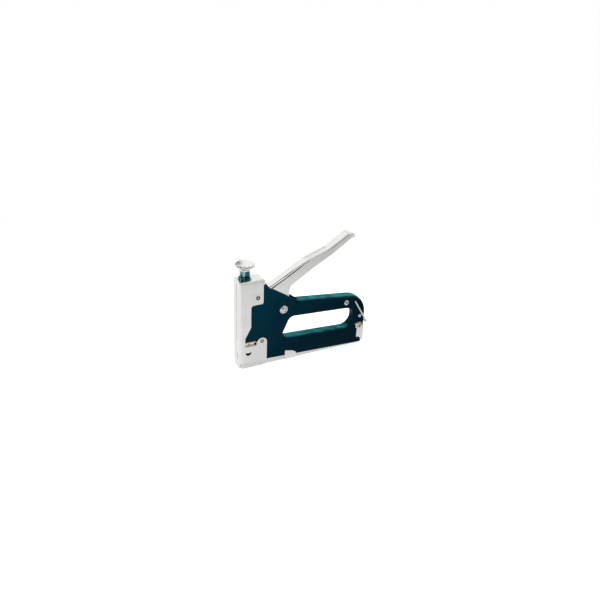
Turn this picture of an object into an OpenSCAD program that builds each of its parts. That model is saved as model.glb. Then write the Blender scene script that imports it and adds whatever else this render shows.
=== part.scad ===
// Hand staple gun: a hand tacker with a pressed two-shell body, a nose cover, a raised squeeze lever,
// a screw that sets the power, and a staple magazine that pulls out at the rear.
// Millimetres. X runs from the nose (0) to the rear, Y across the tool, Z up from the magazine's base.
// Side outlines are drawn in X and Z, and the tool is the same on both sides of Y = 0.

/* [Body shells] */
// Length from the front of the nose to the rear of the body
body_len = 155.4; // [150:0.2:165]
// Width over both shells
body_w = 16; // [15.4:0.1:18]
// Sheet thickness of the shells
shell_t = 1; // [0.8:0.05:1.2]
// Radius of the rolled rims round the grip and the hand hole
rim_r = 5; // [3:0.25:6]
// Height where the top of the grip starts, behind the lever
grip_front_z = 69.2; // [67:0.2:72]
// Distance of that point behind the lever pivot
grip_front_dx = 17.9; // [17:0.1:20]
// Height of the grip's top line at the rear of the body
grip_rear_z = 59.9; // [57:0.1:63]
// Radius of the body's rear corner
rear_corner_r = 23.5; // [18:0.5:26]
// Height of the lower edge at the nose
edge_front_z = 8; // [7:0.1:9]
// Height of the lower edge at the rear
edge_rear_z = 1; // [0.6:0.1:2.5]
// Radius of the bend between the lever slot and the grip
slot_bend_r = 6; // [4:0.5:9]
// Drop of the shells' top edge below the top of the nose cover
shell_drop = 7.1; // [5:0.1:9]

/* [Hand hole] */
// Metal behind the hand hole
rear_column = 14.6; // [13:0.1:17]
// Length of the hand hole at its floor
hole_floor_len = 91.7; // [86:0.1:92.5]
// How far the front of the hole leans back over its height
hole_lean = 10.9; // [8:0.1:13]
// Height of the hole's floor at its rear
hole_floor_z = 21.9; // [21:0.1:23.5]
// Height of the hole at its rear
hole_h = 24.1; // [23.4:0.1:25]
// Fall of the floor and the roof from front to rear
hole_fall = 4.6; // [3.5:0.1:5.5]
// Radius of the lower front corner
hole_low_r = 5.5; // [4:0.25:7]
// Radius of the upper front corner
hole_high_r = 7; // [5:0.25:9]
// Radius of the two rear corners
hole_rear_r = 11.5; // [9:0.1:11.6]

/* [Nose cover] */
// Height of the nose cover's top
cover_h = 102.6; // [100:0.2:106]
// Depth of the cover along the top
cover_depth = 26; // [25:0.2:28]
// Sheet thickness of the cover
cover_t = 1.5; // [1.1:0.05:1.6]
// Radius along the cover's top edges
cover_top_r = 3.1; // [2.7:0.1:5]
// Radius down the cover's front edges
cover_front_r = 1.7; // [1.6:0.1:4]
// Length of the cover at its foot
cover_foot_len = 30.8; // [30:0.1:33]
// Radius of the rounded ear at the foot
ear_r = 5.8; // [5:0.1:6.4]
// Height of the ear
ear_h = 34.8; // [34:0.1:36]
// Width of the cover's narrow waist
waist = 12.4; // [11.5:0.1:13.5]
// Height of the step below the cover's upper part
step_z = 75; // [73.5:0.1:76]
// Height of the notch floor
notch_z = 26.6; // [25.5:0.1:27.5]
// Front edge of the notch
notch_x = 5.6; // [5:0.1:7]
// Height of the front wall's lower edge
cover_foot_z = 1; // [0.6:0.1:2]
// Width of the seam up the front wall
seam_w = 0.5; // [0.2:0.05:0.8]
// Depth of that seam
seam_depth = 0.4; // [0.2:0.05:0.8]
// Length of the lip behind the cover's top
lip_len = 2.6; // [2.2:0.1:3]

/* [Lever] */
// Distance of the lever pivot behind the nose
pivot_x = 50.2; // [50:0.1:52]
// Height of the lever pivot
pivot_z = 63; // [62:0.1:64]
// Radius of the pivot pin
pivot_r = 3; // [2.5:0.1:3.5]
// Gap between the lever and each shell
lever_play = 0.8; // [0.3:0.05:1]
// Sheet thickness of the lever
lever_t = 1.2; // [1:0.05:1.5]
// Extra width of the flared tail on each side
tail_flare = 0.4; // [0:0.1:0.8]
// Stroke of the lever when it is squeezed, in degrees
lever_stroke = 38; // [30:0.5:40]
// Distance from the pivot to the tip of the lifting arm
lift_arm = 26.1; // [25:0.1:27]

/* [Striker and power screw] */
// Distance of the power spring's axis behind the nose
spring_x = 9.1; // [8.9:0.1:9.3]
// Wire of the power spring
spring_wire = 2.2; // [1.8:0.1:2.3]
// Outside diameter of the power spring
spring_od = 11; // [10.6:0.1:11.2]
// Height of the ledge on the striker that carries the spring
ledge_z = 44; // [42:0.2:46]
// Thickness of the driver blade
blade_t = 1.2; // [1:0.05:1.3]
// Lowest point of the driver blade
blade_foot_z = 0.8; // [0.5:0.1:1.5]
// Diameter of the knob's head
knob_d = 21; // [18:0.5:24]
// Diameter of the knob's stem
stem_d = 11; // [9:0.1:11.6]
// Height of the knob above its collar
knob_h = 15; // [12:0.2:17]
// Flutes round the knob's head
flutes = 12; // [8:1:18]
// Radius of the power screw
screw_r = 3; // [2.6:0.1:3.1]
// Radius of the collar's flange
collar_r = 7.2; // [6.5:0.1:8]
// Thickness of the collar's flange
collar_h = 2.6; // [2:0.1:3.5]
// Travel of the spring seat along the screw
seat_travel = 6; // [4:0.5:7]

/* [Magazine] */
// Height of the magazine channel
channel_h = 17.5; // [17:0.1:18]
// Sheet thickness of the channel
channel_t = 1.2; // [1:0.05:1.3]
// Width of a staple's crown
staple_w = 10.6; // [10.4:0.05:10.8]
// Leg length of the staples
staple_leg = 8; // [4:0.5:14]
// Thickness of the staple wire
staple_wire = 0.7; // [0.5:0.05:0.8]
// Staples in the strip
staples = 24; // [10:1:30]
// Sheet thickness of the pull-out rail
rail_t = 0.8; // [0.6:0.05:1]
// Length of the pusher
pusher_len = 14; // [12:0.5:18]
// Wire of the pusher's spring
pusher_wire = 0.6; // [0.5:0.05:0.8]
// Front edge of the side tabs on the channel
tab_x = 53.5; // [50:0.5:58]
// Length of the side tabs
tab_len = 13.7; // [10:0.1:16]
// Height of the side tabs at their front
tab_h = 11.4; // [9:0.1:12]
// Length of the latch cut-out at the rear of the body
latch_len = 10.4; // [10.4:0.1:11.5]
// Height of the latch cut-out's roof
latch_z = 20.2; // [20:0.1:20.6]
// Height of the toe that runs on under the latch
toe_z = 6.4; // [5:0.1:7]
// Length of that toe
toe_len = 6; // [4:0.1:8]

/* [Fasteners and lock] */
// Radius of the rivets through the cover
cover_rivet_r = 1.5; // [1.2:0.1:1.7]
// Radius of the rivet head on the grip
grip_rivet_head = 3; // [2.5:0.1:3.6]
// Radius of the pivot pin's heads
pivot_head = 4.75; // [4.2:0.05:5.5]
// Radius of the rear bolt
bolt_r = 2.5; // [2:0.1:3]
// Thickness of the nut on the rear bolt
nut_h = 2.3; // [1.8:0.1:2.4]
// Wire radius of the lever lock
lock_wire_r = 0.9; // [0.7:0.05:1.1]
// Length of the lever lock's arms
lock_len = 34.4; // [34.2:0.1:36]

/* [Hidden] */
$fn = 48;

// Gap between stacked sheets, clearance between moving pieces, radial play of turning fits, and of pins pressed
// into sheet
gap = 0.1;
play = 0.3;
fit = 0.06;
press = 0.02;

// Half widths, from the outside in
shell_out = body_w / 2;
shell_in = shell_out - shell_t;
cover_in = shell_out + gap;
cover_out = cover_in + cover_t;
emboss = 0.3;
frame_out = shell_in - gap;
frame_t = 1;
frame_in = frame_out - frame_t;
channel_in = frame_out - channel_t;
lever_out = shell_in - lever_play;
lever_in = lever_out - lever_t;

// Body outline
shell_top = cover_h - shell_drop;
shell_front = cover_front_r + 0.2;
skirt_x = 20.4;
skirt_z = 32.6;
grip_x = pivot_x + grip_front_dx;
latch_x = body_len - latch_len;
hole_x = body_len - rear_column;
hole_front = hole_x - hole_floor_len;
lap = 0.6;
flat_end = rim_r - 0.3;
fade_from = grip_x + 1.6;
fade_to = grip_x - 2;

// Fastener places
grip_rivet = [body_len - 27.2, grip_rear_z - 4.2];
rear_rivet = [body_len - 8, latch_z + 15.5];
rear_bolt_at = [body_len - 9.4, latch_z + 4];
ear_rivet = [cover_foot_len - ear_r, ear_h - ear_r + 1.8];
panel_rivet = [cover_depth - 6.3, step_z + 8];
lock_at = [body_len - 15.8, grip_rear_z - 4.9];
body_rivet_r = 1.4;
lock_angle = 59;
mid_x = (spring_x - knob_d / 2 + lock_at.x + lock_len * cos(lock_angle) + lock_wire_r) / 2;

// Striker, its ledge and its fork, and the lifting arm
arm_down = lever_stroke / 2;
tip_r = 2.6;
tip_at = [pivot_x - lift_arm * cos(arm_down), pivot_z - lift_arm * sin(arm_down)];
ledge_t = 3;
blade_x = cover_t + 0.4;
striker_x = blade_x + blade_t;
striker_w = 2 * (frame_in - 0.4);
wall_x = spring_x + spring_od / 2 + 1;
wall_t = 2;
fork_x = pivot_x - lift_arm + tip_r + 0.1;
fork_t = 2.5;

// Power screw
frame_top = shell_top + 0.4;
web_t = 1.5;
seat_top = frame_top - web_t - 0.2;
seat_t = 4;
screw_foot = seat_top - seat_t - seat_travel - 2;
collar_top = cover_h + collar_h;
knob_top = collar_top + knob_h;

// Magazine
roof_z = channel_h - channel_t;
crown_z = roof_z - 1;
rail_top = crown_z - staple_wire - 0.2;
rail_w = staple_w - 2 * staple_wire - 0.8;
staple_pitch = blade_t + 0.05;
strip_x = striker_x + play;
pusher_x = strip_x + staples * staple_pitch + play;
channel_front = striker_x + play;
channel_rear = latch_x - 1;
rail_rear = body_len - 1.6;
rod_z = 9.5;
rod_r = 1;
pusher_slot = 2.8;
pusher_block = 5;
spring_stop = rail_rear - 4;

// Height of the shells' sloping lower edge
function edge_z(x) = edge_front_z + (edge_rear_z - edge_front_z) * x / body_len;

// Unit vector, its left normal, and a blend between two values
function unit(v) = v / norm(v);
function left(v) = [-v.y, v.x];
function blend(a, b, t) = a + (b - a) * t;
function smooth(t) = t <= 0 ? 0 : t >= 1 ? 1 : t * t * (3 - 2 * t);

// Stations round one rounded corner: each is a point on the outline and the normal to its left
function corner(p, u, v, r, k) =
    let (a = left(u), b = left(v), s = u.x * v.y - u.y * v.x > 0 ? 1 : -1, m = (a + b) / (1 + a * b))
    r == 0 ? [[p, m]] :
    let (c = p + s * r * m, turn = s * acos(min(1, a * b)))
    [for (i = [0 : k])
        let (w = turn * i / k, n = [a.x * cos(w) - a.y * sin(w), a.x * sin(w) + a.y * cos(w)])
        [c - s * r * n, n]];

// Stations along a closed outline, and along an open line, given corners [x, z, radius]
function closed_line(c, k = 8) = [for (i = [0 : len(c) - 1])
    let (n = len(c), p = [c[i].x, c[i].y], q = c[(i + n - 1) % n], t = c[(i + 1) % n])
    each corner(p, unit(p - [q.x, q.y]), unit([t.x, t.y] - p), c[i].z, k)];
function open_line(c, k = 8) = [for (i = [0 : len(c) - 1])
    let (p = [c[i].x, c[i].y], q = c[max(0, i - 1)], t = c[min(len(c) - 1, i + 1)])
    let (u = i == 0 ? unit([t.x, t.y] - p) : unit(p - [q.x, q.y]))
    let (v = i == len(c) - 1 ? u : unit([t.x, t.y] - p))
    each corner(p, u, v, c[i].z, k)];

// Outline moved to its left by d
function inset(line, d = 0) = [for (s = line) s[0] + d * s[1]];

// Sheet between y0 and y1 with the outline [x, z]
module plate(points, y0, y1) {
    translate([0, y1, 0]) rotate([90, 0, 0]) linear_extrude(y1 - y0) polygon(points);
}

// The tool's middle stands over the origin
module framed() {
    translate([-mid_x, 0, 0]) children();
}

// Keeps a sculpted sheet and the bores cut in it as one closed mesh, at the size it has
module one_mesh() {
    resize([0, 0, 0]) children();
}

module both_sides() {
    children();
    mirror([0, 1, 0]) children();
}

// Solid through a row of loops that all have the same number of points: turned takes the row from its other end,
// which turns the faces outwards when the loops run the other way round
module skin(row, closed = false, turned = false) {
    loops = turned ? [for (i = [len(row) - 1 : -1 : 0]) row[i]] : row;
    n = len(loops[0]);
    m = len(loops);
    sides = [for (i = [0 : closed ? m - 1 : m - 2], j = [0 : n - 1])
        [i * n + j, i * n + (j + 1) % n, ((i + 1) % m) * n + (j + 1) % n, ((i + 1) % m) * n + j]];
    ends = closed ? [] : [for (j = [0 : n / 2 - 2])
        each [[n - 1 - j, n - 2 - j, j + 1, j], [for (i = [j, j + 1, n - 2 - j, n - 1 - j]) (m - 1) * n + i]]];
    polyhedron([for (l = loops) each l], concat(sides, ends));
}

// Pin across the tool at a point [x, z]
module cross_pin(at, r, half) {
    translate([at.x, half, at.y]) rotate([90, 0, 0]) cylinder(r = r, h = 2 * half);
}

// Domed head on the near side, standing on the half width given
module head(at, r, h, half) {
    translate([at.x, -half, at.y]) rotate([90, 0, 0]) rotate_extrude()
        polygon([[0, 0], [r, 0], [r, h * 0.45], [r * 0.82, h * 0.85], [r * 0.55, h], [0, h]]);
}

// Coil along Z from z = 0
module coil(r, wire, length, turns) {
    steps = 12 * turns;
    skin([for (i = [0 : steps])
        let (a = 360 * i / 12, z = wire / 2 + (length - wire) * i / steps)
        [for (t = [0 : 60 : 300])
            let (q = r + wire / 2 * cos(t))
            [q * cos(a), q * sin(a), z + wire / 2 * sin(t)]]]);
}

// Lines of the rolled edges: the hand hole, and the grip with the rear. The flat of each shell follows them at
// flat_end with slightly softer corners, so that its corners never stand exactly on a section of the rim
function hole_line(softer = 0, k = 8) = closed_line([
    [hole_front, hole_floor_z + hole_fall, hole_low_r + softer],
    [hole_x, hole_floor_z, hole_rear_r + softer],
    [hole_x, hole_floor_z + hole_h, hole_rear_r + softer],
    [hole_front + hole_lean, hole_floor_z + hole_fall + hole_h, hole_high_r + softer]
], k);
slot_end = [cover_depth + play, shell_top];
grip_front = [grip_x, grip_front_z];
function on_grip(x) = grip_front_z + (grip_rear_z - grip_front_z) * (x - grip_x) / (body_len - grip_x);
function on_slot(x) = blend(grip_front_z, shell_top, (grip_x - x) / (grip_x - slot_end.x));
function rolled_line(softer = 0, k = 8) = open_line(concat(
    [[body_len, latch_z - 4, 0], [body_len, grip_rear_z, rear_corner_r + softer]],
    softer > 0 ? [] : [[fade_from, on_grip(fade_from), 0]],
    [[grip_x, grip_front_z, slot_bend_r + softer]],
    [for (x = [fade_to, fade_to - 1]) [x, on_slot(x), 0]]
), k);

// Profile of the rim as pairs [inset, y], outside then back along the inside: w is 1 where it is fully rolled,
// 0 where it lies flat just under the flat's skin, and below 0 at the end that is buried in the flat
function rim_profile(w) =
    let (f = 5, first = 8, tuck = 0.03, mid = (shell_out + shell_in) / 2, bury = shell_t * 0.2)
    let (turns = [for (i = [0 : f]) first + (90 - first) * i / f], cy = shell_out - rim_r, q = rim_r - shell_t)
    let (flats = [for (i = [0 : f]) blend(flat_end - 0.4, 0.6, i / f)])
    let (out = [for (i = [0 : f]) blend([flats[i], tuck - shell_out],
        [rim_r - rim_r * sin(turns[i]), -cy - rim_r * cos(turns[i])], w)])
    let (inn = [for (i = [f : -1 : 0]) blend([flats[i], -shell_in - tuck],
        [rim_r - q * sin(turns[i]), -cy - q * cos(turns[i])], w)])
    w < 0 ? concat(
        [[rim_r + lap, -mid - bury]], [for (d = flats) [d, -mid - bury]], [[0.3, -mid - bury]],
        [[0.3, -mid + bury]], [for (i = [f : -1 : 0]) [flats[i], -mid + bury]], [[rim_r + lap, -mid + bury]]
    ) : concat(
        [[rim_r + lap, -mid - bury]], out, [blend([tuck, tuck - shell_out], [0, -gap], w)],
        [blend([tuck, -shell_in - tuck], [shell_t, -gap], w)], inn, [[rim_r + lap, -mid + bury]]
    );

// Rolled rim along a line, with the metal on its left: w gives how far the rim is rolled at each station
module rolled_rim(line, w, closed = false, turned = false) {
    skin([for (i = [0 : len(line) - 1])
        [for (q = rim_profile(w[i]))
            let (p = line[i][0] + q.x * line[i][1])
            [p.x, q.y, p.y]]], closed, turned);
}

// Near shell: a flat side, the rolled grip and rear, and the rolled hand hole
module shell() {
    line = rolled_line();
    hole = hole_line();
    flat = concat(
        [[skirt_x, edge_z(skirt_x)], [latch_x, edge_z(latch_x)], [body_len - flat_end, edge_z(latch_x)]],
        inset([for (s = rolled_line(0.4, 7)) if (s[0].x > fade_to + 0.5) s], flat_end),
        [[fade_to + 0.3, on_slot(fade_to + 0.3)], slot_end],
        [[shell_front, shell_top], [shell_front, skirt_z], [skirt_x, skirt_z]]
    );
    roll = [for (s = line)
        s[0].x < fade_to - 0.5 ? -1 : smooth((s[0].x - fade_to) / (fade_from - fade_to))];
    difference() {
        union() {
            difference() {
                plate(flat, -shell_out, -shell_in);
                plate(inset(hole_line(0.3, 7), -flat_end), -shell_out - 1, -shell_in + 1);
            }
            rolled_rim(line, roll, false, true);
            rolled_rim([for (s = hole) [s[0], -s[1]]], [for (s = hole) 1], true);
        }
        // Cut-out for the latch above the toe, and the notch for the side tabs
        plate(inset(closed_line([[latch_x, toe_z, 1], [latch_x + toe_len, toe_z, 2], [latch_x + toe_len, -20, 0],
            [body_len + 20, -20, 0], [body_len + 20, latch_z, 0], [latch_x, latch_z, 3]])), -20, 20);
        plate([[tab_x - gap, 0], [tab_x + tab_len + gap, 0], [tab_x + tab_len + gap, tab_h - 4.2],
            [tab_x + tab_len * 0.72, tab_h - 1.8], [tab_x - gap, tab_h + 0.5]], -shell_out - 1, -shell_in + 1);
        translate([0, -shell_out, 0]) {
            cross_pin(lever_at, pivot_r + press, 4);
            cross_pin(ear_rivet, cover_rivet_r + press, 4);
            cross_pin(panel_rivet, cover_rivet_r + press, 4);
            cross_pin(grip_rivet, body_rivet_r + press, 4);
            cross_pin(rear_rivet, body_rivet_r + press, 4);
            cross_pin(rear_bolt_at, bolt_r + press, 4);
            cross_pin(lock_at, lock_wire_r + fit, 4);
        }
    }
}

module left_shell() {
    color("#0d3a47") framed() one_mesh() shell();
}

module right_shell() {
    color("#0d3a47") framed() one_mesh() mirror([0, 1, 0]) shell();
}

// Tubes that hold the shells apart at the rivets and the bolt
module body_spacers() {
    color("silver") framed() {
        difference() {
            cross_pin(grip_rivet, 3, shell_in - 0.4);
            cross_pin(grip_rivet, body_rivet_r, shell_out);
        }
        difference() {
            cross_pin(rear_rivet, 3, shell_in - 0.4);
            cross_pin(rear_rivet, body_rivet_r, shell_out);
        }
        difference() {
            cross_pin(rear_bolt_at, 3.4, shell_in - 0.4);
            cross_pin(rear_bolt_at, bolt_r, shell_out);
        }
    }
}

module body_rivets() {
    color("silver") framed() {
        cross_pin(grip_rivet, body_rivet_r, shell_out);
        both_sides() head(grip_rivet, grip_rivet_head, 1, shell_out);
        cross_pin(rear_rivet, body_rivet_r, shell_out);
        both_sides() head(rear_rivet, grip_rivet_head * 0.7, 0.8, shell_out);
    }
}

// Box with rounded vertical front edges and rounded top edges
module rounded_nose(front, half, top, r_front, r_top) {
    back = cover_foot_len + 2;
    intersection() {
        linear_extrude(top + 1) polygon(inset(closed_line([
            [front, half, r_front], [front, -half, r_front], [back, -half, 0], [back, half, 0]])));
        rotate([90, 0, 90]) linear_extrude(back) polygon(inset(closed_line([
            [-half, -1, 0], [half, -1, 0], [half, top, r_top], [-half, top, r_top]])));
    }
}

module nose_cover() {
    side = inset(closed_line([
        [-1, edge_front_z - 0.3, 0],
        [cover_foot_len, edge_z(cover_foot_len) - 0.2, 1],
        [cover_foot_len, ear_h, ear_r - 0.1],
        [cover_foot_len - 2 * ear_r, ear_h, ear_r - 0.1],
        [cover_foot_len - 2 * ear_r, notch_z, 2.3],
        [notch_x, notch_z, 1.5],
        [notch_x + 0.2, notch_z + 11, 4],
        [waist, notch_z + 23, 3],
        [waist, step_z, 3],
        [cover_depth, step_z, 2],
        [cover_depth, cover_h + 1, 0],
        [-1, cover_h + 1, 0]
    ]));
    color("gainsboro") framed() difference() {
        union() {
            intersection() {
                difference() {
                    rounded_nose(0, cover_out, cover_h, cover_front_r, cover_top_r);
                    rounded_nose(cover_t, cover_in, cover_h - cover_t, cover_front_r - cover_t, cover_top_r - cover_t);
                }
                plate(side, -cover_out - 1, cover_out + 1);
            }
            translate([0, -frame_out, cover_foot_z]) cube([cover_t, 2 * frame_out, edge_front_z]);
            // Lip of the top, bent down behind the sides to close the gap between the shells
            plate(inset(closed_line([
                [cover_depth - 2, cover_h - 0.05, 0], [cover_depth + lip_len, cover_h - 0.05, 3],
                [cover_depth + lip_len, shell_top + 0.2, 0], [cover_depth + lip_len - cover_t, shell_top + 0.2, 0],
                [cover_depth + lip_len - cover_t, cover_h - cover_t, 1.5], [cover_depth - 2, cover_h - cover_t, 0]
            ])), 0.4 - shell_out, shell_out - 0.4);
            both_sides() plate(inset(closed_line([
                [panel_rivet.x - 5, step_z + 1.6, 1.2], [panel_rivet.x + 5, step_z + 1.6, 1.2],
                [panel_rivet.x + 5, step_z + 11.6, 1.2], [panel_rivet.x - 5, step_z + 11.6, 1.2]])),
                -cover_out - emboss, -cover_out + 0.2);
        }
        cross_pin(ear_rivet, cover_rivet_r, 20);
        cross_pin(panel_rivet, cover_rivet_r, 20);
        translate([spring_x, 0, cover_h - cover_t - 1]) cylinder(r = screw_r + 1.6 + press, h = cover_t + 2);
        // Short slit low in the front wall
        translate([-1, -1.9, 10]) cube([cover_t + 2, 0.8, 8.8]);
        crescent(frame_out + 0.02);
        // Seam up the front wall
        translate([-1, -seam_w / 2, skirt_z]) cube([1 + seam_depth, seam_w, cover_h - skirt_z - cover_top_r - 1]);
    }
}

// Crescent slot near the foot, through all the sheets further out than half
module crescent(half) {
    both_sides() difference() {
        cross_pin([spring_x + 0.4, 19.4], 3.2, 20);
        cross_pin([spring_x + 0.4, 24.5], 5.2, 21);
        translate([0, -half, 0]) cube([40, 60, 60]);
    }
}

module nose_plates() {
    outline = inset(closed_line([
        [cover_t + 0.2, 0, 2.4],
        [cover_foot_len - 0.8, 0, 0],
        [cover_foot_len - 0.8, edge_z(cover_foot_len) - play, 0],
        [skirt_x - gap, edge_z(skirt_x) - play, 0],
        [skirt_x - gap, notch_z - 0.3, 1],
        [shell_front, notch_z - 0.3, 1],
        [shell_front, edge_front_z - 0.6, 0],
        [cover_t + 0.2, edge_front_z - 0.6, 0]
    ]));
    color("silver") framed() difference() {
        both_sides() plate(outline, -shell_out, -frame_out - gap);
        crescent(frame_out);
    }
}

module nose_frame() {
    side = inset(closed_line([
        [cover_t + 1.1, channel_h + gap, 0], [skirt_x - 0.4, channel_h + gap, 1],
        [skirt_x - 0.4, skirt_z + 2, 1], [panel_rivet.x + 3.2, skirt_z + 5, 1],
        [panel_rivet.x + 3.2, frame_top, 2], [cover_t + 1.1, frame_top, 2]]));
    color("goldenrod") framed() difference() {
        plate(side, -frame_out, frame_out);
        translate([-1, -frame_in, 0]) cube([40, 2 * frame_in, frame_top - web_t]);
        cross_pin(panel_rivet, cover_rivet_r, 20);
        crescent(frame_in - 0.5);
        // Sight hole behind the notch
        cross_pin([spring_x + 2, notch_z + 2], 0.8, 20);
        translate([spring_x, 0, frame_top - 5]) cylinder(r = screw_r + play, h = 10);
    }
}

module cover_rivets() {
    color("silver") framed() {
        cross_pin(ear_rivet, cover_rivet_r, cover_out);
        both_sides() head(ear_rivet, cover_rivet_r + 0.7, 0.7, cover_out);
        cross_pin(panel_rivet, cover_rivet_r, cover_out + emboss);
        both_sides() head(panel_rivet, cover_rivet_r + 1, 0.6, cover_out + emboss);
    }
}

module rear_bolt() {
    color("silver") framed() {
        cross_pin(rear_bolt_at, bolt_r, shell_out);
        translate([0, -shell_out - nut_h / 2 - 0.1, 0]) cross_pin(rear_bolt_at, bolt_r, nut_h / 2 + 0.1);
        mirror([0, 1, 0]) head(rear_bolt_at, bolt_r + 1.6, nut_h, shell_out);
    }
}

module rear_nut() {
    color("goldenrod") framed() difference() {
        translate([rear_bolt_at.x, -shell_out, rear_bolt_at.y]) rotate([90, 30, 0]) cylinder(r = 5.2, h = nut_h, $fn = 6);
        cross_pin(rear_bolt_at, bolt_r, 20);
    }
}

// Collar riveted through the top of the cover, with the screw's thrust flange turning under it
module power_collar() {
    color("silver") framed() translate([spring_x, 0, 0]) difference() {
        union() {
            translate([0, 0, cover_h]) cylinder(r = collar_r, h = collar_h);
            translate([0, 0, frame_top + 2.6]) cylinder(r = screw_r + 1.6, h = collar_top - frame_top - 2.6);
        }
        cylinder(r = screw_r + fit, h = 200);
    }
}

module adjusting_screw() {
    color("silver") framed() translate([spring_x, 0, 0]) {
        translate([0, 0, screw_foot]) cylinder(r = screw_r, h = knob_top - 5 - screw_foot);
        translate([0, 0, frame_top + play]) cylinder(r = screw_r + 1.5, h = 2);
    }
}

// Knob with a domed, fluted head on a plain stem
module adjusting_knob() {
    foot = collar_top + play;
    stem = stem_d / 2;
    rim = knob_d / 2;
    color("silver") framed() translate([spring_x, 0, 0]) difference() {
        rotate_extrude() polygon([
            [screw_r, foot], [stem, foot], [stem, knob_top - 8.8], [stem + 0.4, knob_top - 7.6],
            [stem + 1.6, knob_top - 6.7], [rim - 0.9, knob_top - 5.3], [rim, knob_top - 4.3], [rim, knob_top - 2.2],
            [rim - 0.5, knob_top - 1.4], [rim - 2, knob_top - 0.7], [rim / 2, knob_top - 0.15], [0, knob_top],
            [0, knob_top - 5], [screw_r, knob_top - 5]
        ]);
        for (i = [0 : flutes - 1]) rotate([0, 0, 360 * i / flutes]) translate([rim + 0.9, 0, knob_top - 9])
            cylinder(r = 1.6, h = 12);
    }
}

module spring_seat() {
    half = frame_in - 0.4;
    color("silver") framed() difference() {
        translate([spring_x - half, -half, seat_top - seat_t]) cube([2 * half, 2 * half, seat_t]);
        translate([spring_x, 0, 0]) cylinder(r = screw_r + fit, h = 200);
    }
}

module power_spring() {
    base = ledge_z + gap;
    color("dimgray") framed() translate([spring_x, 0, base])
        coil((spring_od - spring_wire) / 2, spring_wire, seat_top - seat_t - base - gap, 7);
}

// Block that slides in the nose frame: a front plate, a ledge for the spring and a fork for the arm
module striker() {
    half = striker_w / 2;
    jaw = tip_r + play + 0.1;
    color("slategray") framed() {
        translate([striker_x, -half, notch_z - 4]) cube([2, striker_w, ledge_z - notch_z + 4]);
        translate([striker_x, -half, ledge_z - ledge_t]) cube([wall_x + wall_t - striker_x, striker_w, ledge_t]);
        difference() {
            plate([[wall_x, ledge_z - 1], [wall_x + wall_t, ledge_z - 1], [wall_x + wall_t, tip_at.y - jaw - fork_t],
                [fork_x, tip_at.y - jaw - fork_t], [fork_x, tip_at.y + jaw + fork_t],
                [wall_x, tip_at.y + jaw + fork_t]], -4.2, 4.2);
            translate([wall_x + wall_t, -5, tip_at.y - jaw]) cube([20, 10, 2 * jaw]);
        }
    }
}

module driver_blade() {
    color("silver") framed() translate([blade_x, -staple_w / 2, blade_foot_z])
        cube([blade_t, staple_w, ledge_z - blade_foot_z]);
}

// Lever: stations along the crease of its top, each with the point its side walls reach down to
lever_at = [pivot_x, pivot_z];
crease_front = lever_at + [-15.2, 26.8];
crease_bump = lever_at + [26, 50.1];
crease_dip = lever_at + [53, 60.1];
crease_peak = lever_at + [77, 75.2];
tail_x = crease_peak.x + 2;
tail_len = 8;
eye_r = 8;
root_depth = 13;
bump_depth = 11.8;
tail_depth = 7.3;
end_depth = 6;
root_bend = 2.8;
tail_bend = 1.4;
eye_walls = [200, 240, 280, 320, 360];
slope = unit(crease_bump - crease_front);
// Rounded end of the tail: each pair is a point of the crease and the foot of its side walls
tail_end = [for (q = [[82.4, 73.6, 81.2, 69], [84.2, 72.2, 83.3, 68.6], [85.2, 70.9, 84.6, 68.3], [85.7, 69.8, 85.4, 68.1]])
    [lever_at + [q[0], q[1]], lever_at + [q[2], q[3]]]];
fan_at = [0, 4, 8.6, 13, 17.5, 21, 24];
crease = open_line(concat(
    [for (d = fan_at) let (p = crease_front + slope * d) [p.x, p.y, 0]],
    [for (d = [27.5, 32]) let (p = crease_front + slope * d) [p.x, p.y, 0]],
    [[crease_bump.x, crease_bump.y, 60], [crease_dip.x, crease_dip.y, 22], [crease_peak.x, crease_peak.y, 6]],
    [for (q = tail_end) [q[0].x, q[0].y, 0]]
), 5);
last = len(crease) - 1;

function lever_depth(i) =
    let (x = crease[i][0].x)
    x > crease_dip.x ? blend(tail_depth, end_depth, min(1, (x - crease_dip.x) / (crease_peak.x - crease_dip.x))) :
    x > crease_bump.x ? blend(bump_depth, tail_depth, (x - crease_bump.x) / (crease_dip.x - crease_bump.x)) :
    blend(root_depth, bump_depth, max(0, (x - crease[7][0].x) / (crease_bump.x - crease[7][0].x)));
function lever_bend(i) =
    blend(root_bend, tail_bend, max(0, min(1, (crease[i][0].x - crease[7][0].x) / (crease_bump.x - crease[7][0].x))));
function lever_half(i) =
    let (x = crease[i][0].x)
    let (flare = lever_out + tail_flare * smooth((x - crease_dip.x) / (crease_peak.x - crease_dip.x)))
    flare * sqrt(1 - pow(max(0, x - tail_x) / tail_len, 2));
function wall_foot(i) =
    i < 5 ? lever_at + eye_r * [cos(eye_walls[i]), sin(eye_walls[i])] :
    i == 5 ? lever_at + [7.2, 8] :
    i == 6 ? lever_at + [6.6, 18.5] :
    i == 7 ? lever_at + [8.6, 24.8] :
    i > last - len(tail_end) ? tail_end[i - last + len(tail_end) - 1][1] :
    crease[i][0] - crease[i][1] * lever_depth(i);

// One cross-section of the lever: half width h, walls d long
function lever_loop(i) =
    let (p = crease[i][0], foot = wall_foot(i), d = norm(foot - p), n = (foot - p) / d, h = lever_half(i))
    let (r = min(lever_bend(i), d - 0.3), q = max(r - lever_t, 0.1), b = h - lever_t)
    let (turns = [0, 30, 60, 90])
    [for (uv = concat(
        [[-h, d]], [for (a = turns) [-h + r - r * cos(a), r - r * sin(a)]],
        [for (a = turns) [h - r + r * sin(a), r - r * cos(a)]], [[h, d]],
        [[b, d]], [for (a = turns) [b - q + q * cos(a), lever_t + q - q * sin(a)]],
        [for (a = turns) [-b + q - q * sin(a), lever_t + q - q * cos(a)]], [[-b, d]]
    )) let (c = p + n * uv.y) [c.x, uv.x, c.y]];

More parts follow.
